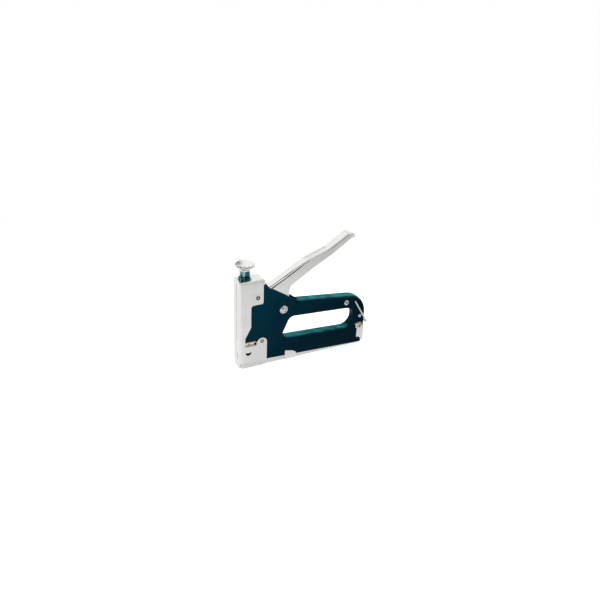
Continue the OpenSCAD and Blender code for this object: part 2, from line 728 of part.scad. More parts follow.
rivet_a = lever_at + [5, 12];
rivet_b = lever_at + [-4.5, 11.5];

module lever() {
    color("gainsboro") framed() one_mesh() difference() {
        skin([for (i = [0 : last]) lever_loop(i)]);
        cross_pin(lever_at, pivot_r + fit, 20);
        cross_pin(rivet_a, 2 + press, 20);
        cross_pin(rivet_b, 2 + press, 20);
    }
}

// Lifting arm: a hub on the pivot, a lobe riveted to the lever, and a neck with a round tip
module lifting_arm() {
    along = unit(tip_at - lever_at);
    across = left(along);
    half = lever_in - gap;
    slim = striker_w / 2 - 0.9;
    neck = [for (q = [[lift_arm, 1.8], [17, 1.8], [7, 5], [0, 7], [0, -7], [7, -5], [17, -1.8], [lift_arm, -1.8]])
        lever_at + along * q.x + across * q.y];
    color("slategray") framed() difference() {
        union() {
            plate(neck, -slim, slim);
            cross_pin(tip_at, tip_r, slim);
            cross_pin(lever_at, 7.4, half);
            plate([lever_at + [-7, 1], lever_at + [7.2, 1], rivet_a + [3, 0], rivet_a + [2, 3],
                rivet_b + [-2, 3], rivet_b + [-3, 0]], -half, half);
        }
        cross_pin(lever_at, pivot_r + fit, 20);
        cross_pin(rivet_a, 2, 20);
        cross_pin(rivet_b, 2, 20);
    }
}

module arm_rivets() {
    color("silver") framed() {
        cross_pin(rivet_a, 2, lever_out + 0.1);
        cross_pin(rivet_b, 2, lever_out + 0.1);
    }
}

module lever_pivot_pin() {
    color("silver") framed() {
        cross_pin(lever_at, pivot_r, shell_out);
        both_sides() head(lever_at, pivot_head, 1.6, shell_out);
    }
}

// Quarter bend of the lock's wire round a point in X and Y, starting at the angle given
module wire_bend(at, r, start) {
    translate([at.x, at.y, 0]) rotate([0, 0, start]) rotate_extrude(angle = 90) translate([r, 0]) circle(r = lock_wire_r);
}

// Wire bail: two arms beside the body, joined behind it, with ends turned in through the shells
module wire_lock() {
    y = shell_out + play + lock_wire_r;
    eye_bend = 1.3;
    far_bend = 3;
    color("silver") framed() translate([lock_at.x, 0, lock_at.y]) rotate([0, lock_angle, 0]) {
        both_sides() {
            translate([0, eye_bend - y, 0]) rotate([-90, 0, 0]) cylinder(r = lock_wire_r, h = y - eye_bend - shell_in + 1);
            wire_bend([eye_bend, eye_bend - y], eye_bend, 180);
            translate([eye_bend, -y, 0]) rotate([0, 90, 0]) cylinder(r = lock_wire_r, h = lock_len - eye_bend - far_bend);
            wire_bend([lock_len - far_bend, far_bend - y], far_bend, 270);
        }
        translate([lock_len, far_bend - y, 0]) rotate([-90, 0, 0]) cylinder(r = lock_wire_r, h = 2 * (y - far_bend));
    }
}

module magazine_channel() {
    color("silver") framed() difference() {
        translate([channel_front, -frame_out, 0]) cube([channel_rear - channel_front, 2 * frame_out, channel_h]);
        translate([0, -channel_in, -1]) cube([200, 2 * channel_in, roof_z + 1]);
        crescent(channel_in - 0.5);
    }
}

module magazine_tabs() {
    color("silver") framed() both_sides() plate([[tab_x, 0], [tab_x + tab_len, 0], [tab_x + tab_len, tab_h - 4.4],
        [tab_x + tab_len * 0.7, tab_h - 2], [tab_x, tab_h]], -shell_out, -frame_out);
}

// Pull-out rail: an inverted channel with a slot for the pusher and a stop for its spring
module magazine_rail() {
    inner = rail_w / 2 - rail_t;
    color("silver") framed() {
        difference() {
            translate([channel_front, -rail_w / 2, 2]) cube([rail_rear - channel_front, rail_w, rail_top - 2]);
            translate([0, -inner, -1]) cube([200, 2 * inner, rail_top - rail_t + 1]);
            translate([pusher_x - 1, -pusher_slot / 2, 0]) cube([spring_stop - pusher_x - 8, pusher_slot, 50]);
        }
        difference() {
            translate([spring_stop, -inner, 3]) cube([1.2, 2 * inner, rail_top - 3 - rail_t]);
            translate([0, 0, rod_z]) rotate([0, 90, 0]) cylinder(r = rod_r, h = 200);
        }
    }
}

module rear_latch() {
    side = inset(closed_line([
        [latch_x + 0.5, 2, 1], [body_len - 0.4, 2, 1], [body_len - 0.4, latch_z - 0.6, 1.5],
        [latch_x + 0.5, latch_z - 0.6, 4.4]]));
    color("gainsboro") framed() difference() {
        plate(side, 0.2 - frame_out, frame_out - 0.2);
        translate([0, -channel_in, 0]) cube([rail_rear, 2 * channel_in, 60]);
    }
}

module pusher() {
    saddle_in = rail_w / 2 + play;
    saddle_out = channel_in - 0.4;
    color("slategray") framed() difference() {
        union() {
            difference() {
                translate([pusher_x, -saddle_out, 6]) cube([pusher_len, 2 * saddle_out, roof_z - play - 6]);
                translate([0, -saddle_in, 0]) cube([200, 2 * saddle_in, rail_top + play]);
            }
            translate([pusher_x, -0.9, rod_z]) cube([pusher_block, 1.8, roof_z - 1 - rod_z]);
            translate([pusher_x, -2.8, rod_z - 3]) cube([pusher_block, 5.6, 6]);
        }
        translate([0, 0, rod_z]) rotate([0, 90, 0]) cylinder(r = rod_r + play, h = 200);
    }
}

module pusher_rod() {
    color("silver") framed() translate([pusher_x - 4, 0, rod_z]) rotate([0, 90, 0])
        cylinder(r = rod_r, h = rail_rear - pusher_x + 4);
}

module pusher_spring() {
    foot = pusher_x + pusher_block + gap;
    color("dimgray") framed() translate([foot, 0, rod_z]) rotate([0, 90, 0])
        coil(2.3, pusher_wire, spring_stop - gap - foot, 16);
}

module staple_strip() {
    color("lightgray") framed() difference() {
        translate([strip_x, -staple_w / 2, crown_z - staple_leg])
            cube([staples * staple_pitch, staple_w, staple_leg]);
        translate([0, -staple_w / 2 + staple_wire, 0])
            cube([200, staple_w - 2 * staple_wire, crown_z - staple_wire]);
    }
}

nose_cover();
nose_plates();
nose_frame();
left_shell();
right_shell();
body_spacers();
body_rivets();
cover_rivets();
rear_bolt();
rear_nut();
power_collar();
adjusting_knob();
adjusting_screw();
spring_seat();
power_spring();
striker();
driver_blade();
lever();
lifting_arm();
arm_rivets();
lever_pivot_pin();
wire_lock();
magazine_channel();
magazine_tabs();
magazine_rail();
rear_latch();
pusher();
pusher_rod();
pusher_spring();
staple_strip();
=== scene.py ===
# %% [markdown]
# # A hand staple gun
# A hand tacker is mostly folded sheet steel: two painted shells riveted together, a plated cover over the
# nose, a plated lever, and a magazine under it all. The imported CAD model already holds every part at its
# real size, and it is the fixed frame here. Loading it first means that each new piece can take its place
# from it.

# %% Load the frame
import math

import bmesh
import bpy
from mathutils import Matrix, Vector


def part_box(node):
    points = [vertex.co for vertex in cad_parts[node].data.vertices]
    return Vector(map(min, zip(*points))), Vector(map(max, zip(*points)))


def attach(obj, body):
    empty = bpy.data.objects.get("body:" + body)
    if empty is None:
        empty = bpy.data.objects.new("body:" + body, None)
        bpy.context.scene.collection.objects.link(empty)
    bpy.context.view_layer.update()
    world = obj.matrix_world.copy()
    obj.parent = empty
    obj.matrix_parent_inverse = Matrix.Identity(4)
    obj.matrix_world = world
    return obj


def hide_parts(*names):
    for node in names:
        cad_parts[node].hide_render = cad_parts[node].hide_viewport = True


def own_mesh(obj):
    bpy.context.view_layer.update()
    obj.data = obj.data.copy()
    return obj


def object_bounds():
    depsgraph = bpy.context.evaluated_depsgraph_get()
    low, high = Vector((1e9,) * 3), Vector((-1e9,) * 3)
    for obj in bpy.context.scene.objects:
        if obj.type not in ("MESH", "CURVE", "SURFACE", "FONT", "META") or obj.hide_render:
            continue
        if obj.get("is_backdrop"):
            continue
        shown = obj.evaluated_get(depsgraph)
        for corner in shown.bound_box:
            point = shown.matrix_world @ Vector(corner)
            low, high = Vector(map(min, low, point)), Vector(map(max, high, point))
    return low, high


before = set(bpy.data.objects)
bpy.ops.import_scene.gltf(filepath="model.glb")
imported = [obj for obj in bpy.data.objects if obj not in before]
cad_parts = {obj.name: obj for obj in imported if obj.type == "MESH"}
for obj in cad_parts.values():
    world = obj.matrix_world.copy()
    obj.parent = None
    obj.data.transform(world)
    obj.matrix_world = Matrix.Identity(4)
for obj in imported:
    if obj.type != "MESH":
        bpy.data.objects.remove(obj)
cad_low, cad_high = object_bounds()
MM = 0.001
ACROSS = Vector((0, 1, 0))
UP = Vector((0, 0, 1))
print("CAD box in mm:", [round(v / MM, 1) for v in cad_high - cad_low])

# %% [markdown]
# ## Camera
# A product shot is taken from the front corner, a little above. The camera looks at a point near the middle
# of the tool from 0.7 m. Three angles say where it stands: round the tool, above it, and a slight roll.
# From them come three directions, which are the columns of the camera's matrix.

# %% Place the camera
camera_distance = 0.7
look_at = Vector((-4.81 * MM, 0, 65.86 * MM))
azimuth, elevation, roll = (math.radians(angle) for angle in (-28.14, 26.67, 2.61))
flat = math.cos(elevation)
back = Vector((math.sin(azimuth) * flat, -math.cos(azimuth) * flat, math.sin(elevation)))
level = Vector((math.cos(azimuth), math.sin(azimuth), 0))
right = level * math.cos(roll) + back.cross(level) * math.sin(roll)
above = back.cross(level) * math.cos(roll) - level * math.sin(roll)
turn = Matrix((right, above, back)).transposed().to_4x4()
camera = bpy.data.objects.new("camera", bpy.data.cameras.new("camera"))
camera.data.lens = 38.81
camera.data.clip_start = 0.01
camera.matrix_world = Matrix.Translation(look_at + back * camera_distance) @ turn
bpy.context.scene.collection.objects.link(camera)
bpy.context.scene.camera = camera
print("camera at", [round(v, 3) for v in camera.location])

# %% [markdown]
# ## Node materials
# Every finish is a small node tree that ends in a Principled shader. A few helpers keep the trees short.
# They add a node, make noise that can be stretched along the grain, turn a value into a range, and mix
# colours. All noise reads Object coordinates. They are in metres, so a noise scale of 1000 means about one
# speck per mm.

# %% Helpers for node trees
def add_node(tree, kind, links=(), **settings):
    """Adds a node. Settings with a capital are sockets, others properties. Links are (socket, output)."""
    node = tree.nodes.new(kind)
    for name, value in settings.items():
        if name[0].isupper():
            node.inputs[name.replace("_", " ")].default_value = value
        else:
            setattr(node, name, value)
    for socket, output in links:
        tree.links.new(output, node.inputs[socket])
    return node


def noise(tree, scale, stretch=(1, 1, 1), detail=3.0):
    """Noise with about scale specks per metre, drawn out along an axis where stretch is small."""
    where = add_node(tree, "ShaderNodeTexCoord").outputs["Object"]
    turned_to = add_node(tree, "ShaderNodeMapping", [("Vector", where)], Scale=stretch).outputs["Vector"]
    made = add_node(tree, "ShaderNodeTexNoise", [("Vector", turned_to)], Scale=scale, Detail=detail)
    return made.outputs["Fac"]


def spread(tree, value, low, high, start=0.3, end=0.7):
    """Maps a value from start..end onto low..high."""
    made = add_node(tree, "ShaderNodeMapRange", [("Value", value)])
    for socket, number in (("From Min", start), ("From Max", end), ("To Min", low), ("To Max", high)):
        made.inputs[socket].default_value = number
    return made.outputs["Result"]


def between(tree, share, first, second, blend="MIX"):
    """Mixes two colours by a share. Each colour is three numbers, or the output of another node."""
    made = add_node(tree, "ShaderNodeMix", data_type="RGBA", blend_type=blend)
    for socket, value in ((0, share), (6, first), (7, second)):
        if isinstance(value, bpy.types.NodeSocket):
            tree.links.new(value, made.inputs[socket])
        else:
            made.inputs[socket].default_value = value if socket == 0 else (*value, 1)
    return made.outputs[2]


def combined(tree, operation, first, second):
    """Two values put together, as a sum, a product or the larger of the two."""
    return add_node(tree, "ShaderNodeMath", [(0, first), (1, second)], operation=operation).outputs[0]


def from_point(tree, point):
    """Where a place on the object lies as seen from a point."""
    where = add_node(tree, "ShaderNodeTexCoord").outputs["Object"]
    apart = add_node(tree, "ShaderNodeVectorMath", [(0, where)], operation="SUBTRACT")
    apart.inputs[1].default_value = point
    return apart.outputs[0]


def length_of(tree, vector):
    """The length of a vector in metres."""
    return add_node(tree, "ShaderNodeVectorMath", [(0, vector)], operation="LENGTH").outputs["Value"]


def principled(name, **sockets):
    """A new material with a Principled shader, and its node tree."""
    material = bpy.data.materials.new(name)
    material.use_nodes = True
    shader = material.node_tree.nodes["Principled BSDF"]
    for socket, value in sockets.items():
        shader.inputs[socket.replace("_", " ")].default_value = value
    return material, material.node_tree, shader


def bumped(tree, shader, height, distance, strength=1.0):
    """Sends a height to the shader as bump, with its depth in metres."""
    bump = add_node(tree, "ShaderNodeBump", [("Height", height)], Strength=strength, Distance=distance)
    tree.links.new(bump.outputs["Normal"], shader.inputs["Normal"])


# %% [markdown]
# ## Paint
# The shells are sprayed in a deep teal gloss. Sprayed paint isn't quite even: it has a faint orange-peel
# surface, and its tone drifts a little where the coat is thicker. Both come from noise, one fine and one
# broad. On top of the rolled rims, on the places whose normal points up, a pale teal is painted in as a
# highlight, and a third noise, drawn out along the tool, breaks it into streaks.

# %% Teal paint
deep_teal, light_teal, highlight_teal = (0.0, 0.0076, 0.0130), (0.0, 0.0120, 0.0168), (0.014, 0.12, 0.115)
paint, tree, shader = principled("teal_paint", Specular_IOR_Level=0.03)
coat = between(tree, spread(tree, noise(tree, 38), 0, 1), deep_teal, light_teal)
normal = add_node(tree, "ShaderNodeTexCoord").outputs["Normal"]
upward = add_node(tree, "ShaderNodeSeparateXYZ", [(0, normal)]).outputs["Z"]
# Painted highlight: the tops of the rims, whose normal points up, turn pale teal.
on_top = spread(tree, upward, 0, 1, 0.80, 1.0)
streaks = spread(tree, noise(tree, 260, (0.35, 1, 1)), 0.35, 1.0, 0.4, 0.6)
painted_highlight = combined(tree, "MULTIPLY", on_top, streaks)
tree.links.new(between(tree, painted_highlight, coat, highlight_teal), shader.inputs["Base Color"])
tree.links.new(spread(tree, noise(tree, 150), 0.26, 0.38), shader.inputs["Roughness"])
bumped(tree, shader, noise(tree, 620, detail=1.0), 0.03 * MM, 0.6)
print("paint nodes:", len(tree.nodes))

# %% [markdown]
# ## Metals
# All the metals are the same recipe with other numbers. Plating follows the grain of the rolled sheet under
# it, so its roughness and bump come from noise drawn out along one direction. Where a part shows no grain,
# that noise is even. A broad second noise clouds the colour, and a few small specks are duller, as handled
# plating is. Chrome has little of all this, zinc has more, and dark steel is rough and uneven. On
# blue-passivated zinc the clouds are drawn out into light and dark streaks with clearer edges. The blue tint
# is the plating's own, and the strong light and dark streaks are a painted reflection of mirrored bands.

# %% Metal recipe
EVEN = (1, 1, 1)


def metal(name, light, dark, rough, grain=(0.06, 1, 1), grain_scale=1800, depth=0.004, cloud=90,
          cloud_stretch=EVEN, cloud_edge=(0.3, 0.7)):
    """A metal between two colours, with a range of roughness, a grain, clouds and a few duller specks."""
    material, tree, shader = principled(name, Metallic=1.0)
    lines = noise(tree, grain_scale, grain)
    clouds = noise(tree, cloud, cloud_stretch)
    share = spread(tree, clouds, 0, 1, *cloud_edge)
    tree.links.new(between(tree, share, light, dark), shader.inputs["Base Color"])
    even = spread(tree, combined(tree, "ADD", lines, clouds), *rough, 0.7, 1.3)
    specks = spread(tree, noise(tree, 700, detail=6.0), 0, 0.08, 0.6, 0.75)
    tree.links.new(combined(tree, "ADD", even, specks), shader.inputs["Roughness"])
    bumped(tree, shader, lines, depth * MM)
    return material


# %% [markdown]
# ## Painted shade
# Dark painted shade stands for the shadow that falls where sheets meet and round an opening. Round a place,
# the metal's own colour gives way to the dark with distance, in a soft band. Measured along one axis only,
# that makes a stripe.

# %% Metal with painted shade
painted_shade = (0.02, 0.02, 0.015)


def with_painted_shade(material, middle, along, dark, unshaded):
    """Paints shade on a metal: full up to the first distance in mm from a middle, along the given axes, none
    from the second.
    """
    tree = material.node_tree
    base = tree.nodes["Principled BSDF"].inputs["Base Color"]
    kept = add_node(tree, "ShaderNodeVectorMath", [(0, from_point(tree, middle))], operation="MULTIPLY")
    kept.inputs[1].default_value = along
    share = spread(tree, length_of(tree, kept.outputs[0]), 1, 0, dark * MM, unshaded * MM)
    tree.links.new(between(tree, share, base.links[0].from_socket, painted_shade), base)
    return material


# %% The tool's metals
chrome = metal("bright_chrome", (0.91, 0.91, 0.90), (0.86, 0.86, 0.85), (0.03, 0.08), depth=0.001)
nickel = metal("satin_nickel", (0.90, 0.895, 0.88), (0.86, 0.855, 0.84), (0.15, 0.22), (1, 1, 0.06),
               depth=0.001)
zinc = metal("zinc_steel", (0.82, 0.83, 0.84), (0.70, 0.71, 0.73), (0.18, 0.32), EVEN, 900, 0.003, 240)
# Painted reflection: light cyan and near-black streaks stand in for bands mirrored round the stem and
# collar.
blue_zinc = metal("blue_zinc", (0.55, 0.84, 0.90), (0.02, 0.12, 0.14), (0.06, 0.14), EVEN, 900, 0.002, 210,
                  (1, 1, 0.12), (0.42, 0.56))
pale_zinc = metal("pale_yellow_zinc", (0.90, 0.86, 0.70), (0.78, 0.75, 0.60), (0.16, 0.3), EVEN, 700, 0.003,
                  320)
guide_zinc = metal("guide_zinc", (0.98, 0.93, 0.76), (0.92, 0.87, 0.70), (0.16, 0.3), EVEN, 700, 0.003, 320)
# Painted shade: a dark band across the guide at the top of the notch, in the shadow under the shell's skirt.
with_painted_shade(guide_zinc, (0, 0, 35 * MM), UP, 4.0, 5.4)
bright_wire = metal("bright_wire", (0.98, 0.98, 0.97), (0.94, 0.94, 0.93), (0.22, 0.32), depth=0.001)
inner_zinc = metal("inner_zinc", (0.84, 0.84, 0.83), (0.76, 0.76, 0.76), (0.2, 0.3), grain_scale=1500,
                   depth=0.002, cloud=160)
spring_low, spring_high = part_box("power_spring")
behind_slot = ((spring_low[0] + spring_high[0]) / 2 + 0.4 * MM, 0, 18.5 * MM)
# Painted shade: the inner plates darken round the slot in the nose, where they lie in shadow behind the
# cover.
with_painted_shade(inner_zinc, behind_slot, (1, 0, 1), 5.0, 6.5)
dark_steel = metal("dark_steel", (0.16, 0.16, 0.17), (0.08, 0.08, 0.09), (0.38, 0.6), EVEN, 600, 0.01, 200)
spring_steel = metal("spring_steel", (0.36, 0.36, 0.38), (0.24, 0.24, 0.26), (0.22, 0.36), EVEN, 900)
staple_steel = metal("staple_wire", (0.78, 0.79, 0.80), (0.66, 0.67, 0.69), (0.2, 0.34), (1, 0.1, 1), 1500)
metals = (chrome, nickel, zinc, blue_zinc, pale_zinc, guide_zinc, bright_wire, inner_zinc, dark_steel,
          spring_steel, staple_steel)
print("metals:", [material.name for material in metals])

# %% [markdown]
# ## Helpers for pieces
# A new piece needs the same few things each time: a mesh, an object at the origin, a finish, the CAD body
# it rides on, and the CAD nodes it stands for. Shading is smooth, with an edge kept sharp where two faces
# meet at more than a given angle. Its place comes from the box of the node that it stands for.

# %% Finish a piece
def finish_piece(name, bm, body, finish, stands_for=(), sharp=35):
    """Turns a bmesh into a named piece that rides on a body."""
    mesh = bpy.data.meshes.new(name)
    bm.to_mesh(mesh)
    bm.free()
    mesh.materials.append(finish)
    mesh.shade_smooth()
    mesh.set_sharp_from_angle(angle=math.radians(sharp))
    piece = bpy.data.objects.new(name, mesh)
    bpy.context.scene.collection.objects.link(piece)
    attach(piece, body)
    if stands_for:
        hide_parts(*stands_for)
    print(f"{name}: {len(mesh.polygons)} faces")
    return piece


def merged_copy(node):
    """A copy of a CAD node with its loose triangles joined up and its flats made whole."""
    bm = bmesh.new()
    bm.from_mesh(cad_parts[node].data)
    bmesh.ops.remove_doubles(bm, verts=bm.verts, dist=1e-6)
    bmesh.ops.dissolve_limit(bm, angle_limit=math.radians(0.5), verts=bm.verts, edges=bm.edges)
    return bm


def soften(piece, width, segments=2, angle=40):
    """Rounds a piece's sharp edges a little, as stamping and plating do, and keeps its flats shaded flat."""
    bevel = piece.modifiers.new("softened edges", "BEVEL")
    bevel.width = width * MM
    bevel.segments = segments
    bevel.limit_method = "ANGLE"
    bevel.angle_limit = math.radians(angle)
    bevel.harden_normals = True
    flats = piece.modifiers.new("flats stay flat", "WEIGHTED_NORMAL")
    flats.keep_sharp = True
    return piece


def darkened(piece, is_dark):
    """Gives the faces that a test picks out a second finish of dark steel, as painted shade."""
    piece.data.materials.append(dark_steel)
    for face in piece.data.polygons:
        if is_dark(face):
            face.material_index = 1
    return piece


def inward_shaded(piece):
    """Paints shade, as dark steel, on the faces that look inwards, towards the tool's middle plane."""
    return darkened(piece, lambda face: face.normal.y * math.copysign(1, face.center.y) < -0.5)


def middle(node):
    """The middle of a CAD node's box, and its lowest and highest corner."""
    low, high = (Vector(corner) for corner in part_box(node))
    return (low + high) / 2, low, high


# %% [markdown]
# ## Round shapes
# Rivets, knobs, collars and springs are all a line swept round an axis. Spin does both jobs: a full turn of
# a profile gives a turned part, and many turns with a step along the axis give a coil. The sweep is made
# round Z at the origin, because one direction is easy to think about, and is then turned and moved to its
# place.

# %% Turned parts and coils
def place(bm, verts, foot, axis):
    """Turns new geometry from Z to an axis, and moves it to its foot."""
    turn = UP.rotation_difference(Vector(axis)).to_matrix().to_4x4()
    bmesh.ops.transform(bm, verts=verts, matrix=Matrix.Translation(Vector(foot)) @ turn)


def turned(bm, profile, foot, axis, steps=48):
    """Spins a profile of (radius, height) in mm once round an axis through foot."""
    before = set(bm.verts)
    line = [bm.verts.new((radius * MM, 0, height * MM)) for radius, height in profile]
    edges = [bm.edges.new(pair) for pair in zip(line, line[1:])]
    bmesh.ops.spin(bm, geom=line + edges, cent=(0, 0, 0), axis=UP, angle=math.tau, steps=steps,
                   use_merge=True)
    made = [vert for vert in bm.verts if vert not in before]
    bmesh.ops.remove_doubles(bm, verts=made, dist=1e-7)
    made = [vert for vert in bm.verts if vert not in before]
    bmesh.ops.recalc_face_normals(bm, faces=list({face for vert in made for face in vert.link_faces}))
    place(bm, made, foot, axis)


def coil(radius, wire, length, turns, foot, axis, steps=26):
    """A round wire wound evenly along an axis, with its two ends closed."""
    bm = bmesh.new()
    ring = bmesh.ops.create_circle(bm, segments=10, radius=wire / 2 * MM)["verts"]
    bmesh.ops.rotate(bm, verts=ring, cent=(0, 0, 0), matrix=Matrix.Rotation(math.pi / 2, 3, "X"))
    bmesh.ops.translate(bm, verts=ring, vec=(radius * MM, 0, 0))
    edges = list({edge for vert in ring for edge in vert.link_edges})
    count = turns * steps
    rise = (length - wire) * MM / count
    bmesh.ops.spin(bm, geom=ring + edges, cent=(0, 0, 0), axis=UP, dvec=(0, 0, rise),
                   angle=math.tau * turns, steps=count)
    bmesh.ops.holes_fill(bm, edges=bm.edges, sides=0)
    bmesh.ops.recalc_face_normals(bm, faces=bm.faces)
    bmesh.ops.translate(bm, verts=bm.verts, vec=(0, 0, wire / 2 * MM))
    place(bm, list(bm.verts), foot, axis)
    return bm


# %% [markdown]
# ## Body shells
# The two shells have exactly the shape that the CAD gives them. A copy is merged so that the paint shades
# smoothly over the rolled rims, and its cut edges are rounded a little, because paint draws back from an
# edge.

# %% Shells
for node in ("left_shell", "right_shell"):
    sheet = finish_piece(f"{node}_sheet", merged_copy(node), "body", paint, [node])
    soften(sheet, 0.12, 1, 50)

# %% [markdown]
# ## Nose cover
# The cover is a deep-drawn steel cap, plated after forming. Its bends are already round in the CAD, so only
# the cut edges of the sheet need softening. They catch a thin bright line. The faces of the cover, plates
# and guide that look inwards get painted shade in dark steel, so that the cover's slot shows black.

# %% Cover and the plates inside it
cover = finish_piece("nose_cover_sheet", merged_copy("nose_cover"), "body", nickel,
                     ["nose_cover"], 30)
# Painted shade on the inward faces of the cover, plates and guide.
soften(inward_shaded(cover), 0.16, 2, 50)
plates = finish_piece("nose_side_plates", merged_copy("nose_plates"), "body", inner_zinc,
                      ["nose_plates"])
soften(inward_shaded(plates), 0.15)
guide = finish_piece("striker_guide", merged_copy("nose_frame"), "body", guide_zinc,
                     ["nose_frame"])
soften(inward_shaded(guide), 0.2)

# %% [markdown]
# ## Lever
# The lever is a folded channel of steel, bright chromed, with a tight bend along each side of its top. The
# merged copy keeps the bend as the CAD has it, and a small bevel takes the edge off the foot of its walls.

# %% Lever and its lifting arm
lever = finish_piece("squeeze_lever", merged_copy("lever"), "lever", chrome, ["lever"], 40)
soften(lever, 0.18, 2, 60)
arm = finish_piece("arm_plates", merged_copy("lifting_arm"), "lever", dark_steel,
                   ["lifting_arm"])
soften(arm, 0.25)

# %% [markdown]
# ## Rivets and pins
# A rivet's head is pressed over in a die, which leaves a low dome with a rounded rim, and often a ring or a
# dimple in the middle. Each is a spun profile. The list gives radius and height in mm from the sheet up,
# and both sides of the tool get the same head. The outside of each shell is 8 mm from the middle plane. The
# two cover rivets have a flat groove round the middle, and its faces get the dark finish as painted shade.

# %% Rivets of the shells
shell_half = 8.0


def riveted(name, head, shank, places, half, stands_for, body="body"):
    """Zinc-plated pins across the tool at each (x, z) place, with the same head on both sides."""
    bm = bmesh.new()
    profile = [(0, -half), (shank, -half), (shank, 0)] + head
    for x, z in places:
        for side in (-1, 1):
            turned(bm, profile, (x, side * half * MM, z), ACROSS * side, 36)
    return finish_piece(name, bm, body, zinc, stands_for, 30)


grip_radius, rear_radius = 3.0, 2.1
_, low, high = middle("body_rivets")
grip_at = (low.x + grip_radius * MM, high.z - grip_radius * MM)
rear_at = (high.x - rear_radius * MM, low.z + rear_radius * MM)
grip_head = [(grip_radius, 0), (grip_radius, 0.25), (2.8, 0.55), (2.2, 0.82), (1.3, 0.97), (0, 1.0)]
rear_head = [(rear_radius, 0), (rear_radius, 0.25), (1.9, 0.5), (1.3, 0.72), (0, 0.8)]
riveted("grip_rivet", grip_head, 1.4, [grip_at], shell_half, ["body_rivets"])
riveted("rear_rivet", rear_head, 1.4, [rear_at], shell_half, ["body_rivets"])

# %% Rivets of the cover
def grooved(rivet, at, inner, outer):
    """Paints shade, in dark steel, on the flat groove between two radii in mm round a rivet's middle."""
    def in_groove(face):
        """Whether a face lies flat between the two radii."""
        reach = math.hypot(face.center.x - at[0], face.center.z - at[1]) / MM
        return inner < reach < outer and abs(face.normal.y) > 0.9
    darkened(rivet, in_groove)


ear_radius, panel_radius, head_out, panel_raised = 2.2, 2.5, 0.9, 0.3
_, low, high = middle("cover_rivets")
cover_half = high.y / MM - head_out
ear_at = (high.x - ear_radius * MM, low.z + ear_radius * MM)
panel_at = (low.x + panel_radius * MM, high.z - panel_radius * MM)
ear_head = [(ear_radius, 0), (ear_radius, 0.2), (2.15, 0.3), (2.05, 0.3), (2.0, 0.06), (1.0, 0.06),
            (0.9, 0.3), (0.6, 0.45), (0, 0.5)]
panel_head = [(panel_radius, 0), (panel_radius, 0.2), (2.45, 0.35), (2.3, 0.35), (2.2, 0.06), (0.95, 0.06),
              (0.85, 0.35), (0.5, 0.5), (0, 0.55)]
ear = riveted("ear_rivet", ear_head, 1.5, [ear_at], cover_half, ["cover_rivets"])
panel = riveted("panel_rivet", panel_head, 1.5, [panel_at], cover_half + panel_raised,
                ["cover_rivets"])
# Painted shade in the grooves of the two cover rivets.
grooved(ear, ear_at, 0.95, 2.05)
grooved(panel, panel_at, 0.9, 2.25)

# %% [markdown]
# ## Lever pivot
# The lever turns on the largest pin. Its head has a ring pressed round a raised middle. Two small rivets
# hold the lifting arm to the lever. Their heads are almost flush, because they pass close inside the
# shells.

# %% Lever pivot and the arm's rivets
centre = middle("lever_pivot_pin")[0]
pivot_head = [(4.75, 0), (4.75, 0.35), (4.6, 0.7), (4.2, 0.98), (3.6, 1.1), (3.2, 1.05), (2.9, 0.85),
              (2.5, 0.95), (2.0, 1.3), (1.2, 1.52), (0, 1.6)]
riveted("lever_pivot", pivot_head, 3.0, [(centre.x, centre.z)], shell_half, ["lever_pivot_pin"])
arm_radius, arm_head_high = 2.0, 0.1
_, low, high = middle("arm_rivets")
arm_at = [(high.x - arm_radius * MM, high.z - arm_radius * MM),
          (low.x + arm_radius * MM, low.z + arm_radius * MM)]
arm_head = [(arm_radius, 0), (1.8, 0.07), (0, arm_head_high)]
riveted("arm_rivet_pair", arm_head, arm_radius, arm_at, high.y / MM - arm_head_high, ["arm_rivets"], "lever")

# %% [markdown]
# ## Rear nut
# A real nut is turned to a cone before its flats are cut, so its corners are lower than the middle of each
# flat. Here a ring between a hexagon and a circle is extruded, and the top corners are lowered by how far
# they stand out. The nut is turned a few degrees, because a tightened nut stops anywhere.

# %% Nut
nut_corner, nut_hole, cone_from, cone_slope, nut_turn = 4.8, 2.52, 4.2, 0.5, 8
nut_at, low, high = middle("rear_nut")
nut_high = high.y - low.y
bm = bmesh.new()
bmesh.ops.create_circle(bm, segments=6, radius=nut_corner * MM)
bmesh.ops.subdivide_edges(bm, edges=bm.edges[:], cuts=5)
bmesh.ops.create_circle(bm, segments=36, radius=nut_hole * MM)
bmesh.ops.bridge_loops(bm, edges=bm.edges[:])
raised = bmesh.ops.extrude_face_region(bm, geom=bm.faces[:])["geom"]
for vert in (item for item in raised if isinstance(item, bmesh.types.BMVert)):
    out = math.hypot(vert.co.x, vert.co.y)
    vert.co.z = nut_high - max(0, out - cone_from * MM) * cone_slope
bmesh.ops.recalc_face_normals(bm, faces=bm.faces)
off_level = Matrix.Rotation(math.radians(nut_turn), 3, "Z")
bmesh.ops.rotate(bm, verts=bm.verts, cent=(0, 0, 0), matrix=off_level)
place(bm, list(bm.verts), (nut_at.x, high.y, nut_at.z), -ACROSS)
soften(finish_piece("rear_nut_hex", bm, "body", pale_zinc, ["rear_nut"]), 0.12)

# %% [markdown]
# ## Rear bolt
# The bolt ends a little below the nut's face, which leaves a shadowed recess. The rim of its tip is
# darkened with dark steel as painted shade in that recess. Its head is on the right.

